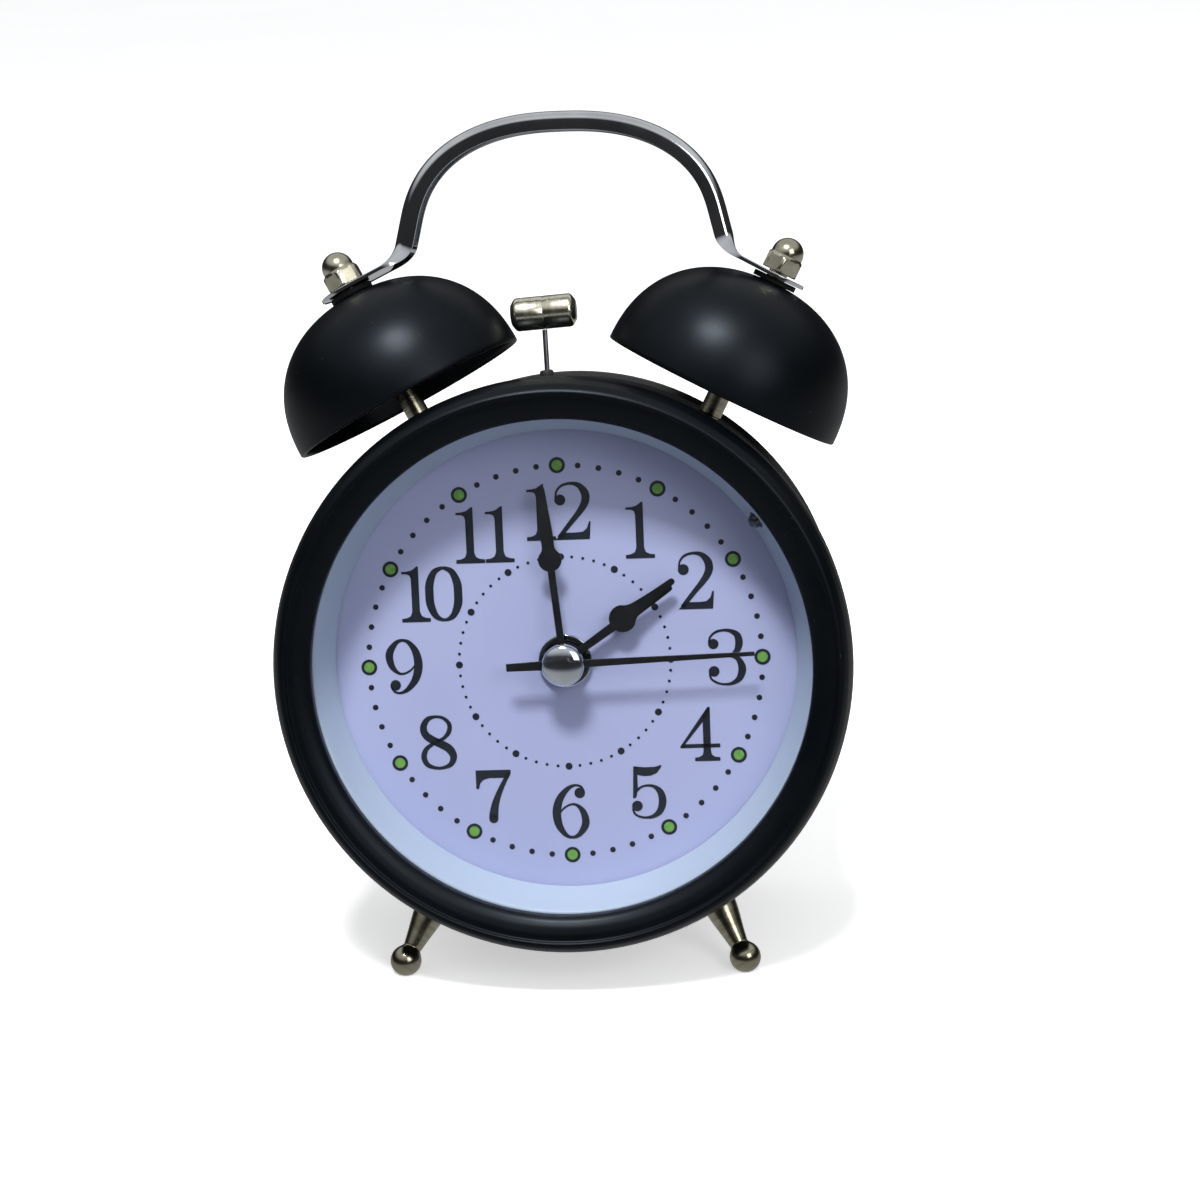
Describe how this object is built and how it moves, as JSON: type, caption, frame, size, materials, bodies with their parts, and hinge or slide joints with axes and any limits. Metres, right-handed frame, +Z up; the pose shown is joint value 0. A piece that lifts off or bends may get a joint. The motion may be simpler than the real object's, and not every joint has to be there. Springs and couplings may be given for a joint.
{
  "type": "alarm clock",
  "caption": "Round twin-bell alarm clock on two legs, with a carrying handle, a hammer between the bells, geared hands and controls on its back.",
  "frame": {"origin": "centre of the bounding box, on the surface the clock stands on", "axes": "+Z up, the dial faces -Y and looks slightly up, +X to the right as the dial is read"},
  "size_m": [0.0884, 0.0604, 0.1294],
  "materials": {
    "black_paint": "satin baked enamel",
    "black_plastic": "moulded, lightly textured",
    "clear_glass": "clear flat glass",
    "ring_plastic": "smooth pale plastic",
    "dial_card": "matt printed card",
    "lamp_lens": "smoked and glossy",
    "washer_rubber": "matt",
    "nickel": "warm polished nickel plate",
    "chrome": "bright plate",
    "steel": "zinc plated",
    "hand_enamel": "satin black",
    "gear_plastic": "natural acetal",
    "copper": "enamelled winding wire",
    "board": "solder resist",
    "magnet": "sintered magnet",
    "tin": "tinned spring steel",
    "cell_jacket": "shrink jacket over steel",
    "switch_red": "moulded"
  },
  "bodies": {
    "case": {"case_drum": "black_paint", "front_bezel": "black_paint", "glass_lens": "clear_glass", "reflector_ring": "ring_plastic", "dial_plate": "dial_card", "dial_lamp": "lamp_lens", "back_cover": "black_plastic", "bell_left": "black_paint", "bell_right": "black_paint", "bell_post_left": "nickel", "bell_post_right": "nickel", "bell_washer_left": "washer_rubber", "bell_washer_right": "washer_rubber", "acorn_nut_left": "nickel", "acorn_nut_right": "nickel", "bell_post_nut_left": "steel", "bell_post_nut_right": "steel", "carry_handle": "chrome", "leg_left": "nickel", "leg_right": "nickel", "leg_nut_left": "steel", "leg_nut_right": "steel", "hammer_pivot_pin": "steel", "striker_bracket": "steel", "striker_coil": "copper", "striker_core": "steel", "movement_housing": "black_plastic", "movement_cover": "black_plastic", "centre_fixing_nut": "chrome", "circuit_board": "board", "quartz_crystal": "tin", "drive_coil": "copper", "stator": "steel", "battery_box": "black_plastic", "battery": "cell_jacket", "battery_contact_positive": "tin", "battery_contact_negative": "tin"},
    "seconds_arbor": {"seconds_wheel": "gear_plastic", "second_hand": "hand_enamel", "second_hand_cap": "chrome"},
    "third_arbor": {"third_wheel": "gear_plastic"},
    "minute_arbor": {"centre_wheel": "gear_plastic", "minute_hand": "hand_enamel"},
    "motion_arbor": {"motion_wheel": "gear_plastic"},
    "hour_arbor": {"hour_wheel": "gear_plastic", "hour_hand": "hand_enamel"},
    "time_setting": {"time_set_stem": "black_plastic", "time_set_knob": "black_plastic"},
    "intermediate_arbor": {"intermediate_wheel": "gear_plastic"},
    "rotor_arbor": {"rotor": "magnet"},
    "alarm_setting": {"alarm_set_stem": "black_plastic", "alarm_set_knob": "black_plastic"},
    "alarm_arbor": {"alarm_wheel": "gear_plastic", "alarm_hand": "hand_enamel"},
    "hammer": {"hammer_head": "nickel", "hammer_rod": "steel", "hammer_lever": "steel"},
    "alarm_key": {"alarm_switch": "switch_red"},
    "light_key": {"light_button": "black_plastic"},
    "battery_hatch": {"battery_door": "black_plastic"}
  },
  "joints": [
    {"name": "seconds_turn", "type": "hinge", "parent": "case", "child": "seconds_arbor", "pos_m": [-0.00025, -0.02272, 0.05068], "axis": [0, 0.9842, -0.1772], "continuous": true},
    {"name": "third_turn", "type": "hinge", "parent": "case", "child": "third_arbor", "pos_m": [0.004, -0.02142, 0.05792], "axis": [0, 0.9842, -0.1772], "continuous": true},
    {"name": "minute_turn", "type": "hinge", "parent": "case", "child": "minute_arbor", "pos_m": [-0.00025, -0.02272, 0.05068], "axis": [0, 0.9842, -0.1772], "continuous": true},
    {"name": "motion_turn", "type": "hinge", "parent": "case", "child": "motion_arbor", "pos_m": [-0.0073, -0.02318, 0.04815], "axis": [0, 0.9842, -0.1772], "continuous": true},
    {"name": "hour_turn", "type": "hinge", "parent": "case", "child": "hour_arbor", "pos_m": [-0.00025, -0.02272, 0.05068], "axis": [0, 0.9842, -0.1772], "continuous": true},
    {"name": "time_knob_turn", "type": "hinge", "parent": "case", "child": "time_setting", "pos_m": [-0.01435, -0.02363, 0.04563], "axis": [0, 0.9842, -0.1772], "continuous": true},
    {"name": "intermediate_turn", "type": "hinge", "parent": "case", "child": "intermediate_arbor", "pos_m": [-0.00375, -0.02165, 0.05664], "axis": [0, 0.9842, -0.1772], "continuous": true},
    {"name": "rotor_turn", "type": "hinge", "parent": "case", "child": "rotor_arbor", "pos_m": [-0.00895, -0.02112, 0.0596], "axis": [0, 0.9842, -0.1772], "continuous": true},
    {"name": "alarm_knob_turn", "type": "hinge", "parent": "case", "child": "alarm_setting", "pos_m": [0.00877, -0.02331, 0.04745], "axis": [0, 0.9842, -0.1772], "continuous": true},
    {"name": "alarm_hand_turn", "type": "hinge", "parent": "case", "child": "alarm_arbor", "pos_m": [-0.00025, -0.02272, 0.05068], "axis": [0, 0.9842, -0.1772], "continuous": true},
    {"name": "hammer_swing", "type": "hinge", "parent": "case", "child": "hammer", "pos_m": [-0.00025, 0.0047, 0.07318], "axis": [0, 0.9842, -0.1772], "range_deg": [0, 12.3], "stiffness_Nm_per_rad": 0.0005, "springref_deg": -11.46},
    {"name": "alarm_switch_slide", "type": "slide", "parent": "case", "child": "alarm_key", "axis": [1, 0, 0], "range_m": [0, 0.004]},
    {"name": "light_button_press", "type": "slide", "parent": "case", "child": "light_key", "axis": [0, -0.9842, 0.1772], "range_m": [0, 0.0012], "stiffness_N_per_m": 250, "springref_m": -0.002},
    {"name": "battery_door_off", "type": "slide", "parent": "case", "child": "battery_hatch", "axis": [0, 0.9842, -0.1772], "range_m": [0, 0.02]}
  ],
  "couplings": [
    {"joint": "third_turn", "follows": "seconds_turn", "ratio": -0.13333},
    {"joint": "minute_turn", "follows": "seconds_turn", "ratio": 0.016667},
    {"joint": "motion_turn", "follows": "seconds_turn", "ratio": -0.0055556},
    {"joint": "hour_turn", "follows": "seconds_turn", "ratio": 0.0013889},
    {"joint": "time_knob_turn", "follows": "seconds_turn", "ratio": 0.016667},
    {"joint": "intermediate_turn", "follows": "seconds_turn", "ratio": -6},
    {"joint": "rotor_turn", "follows": "seconds_turn", "ratio": 30},
    {"joint": "alarm_hand_turn", "follows": "alarm_knob_turn", "ratio": -0.33333}
  ]
}
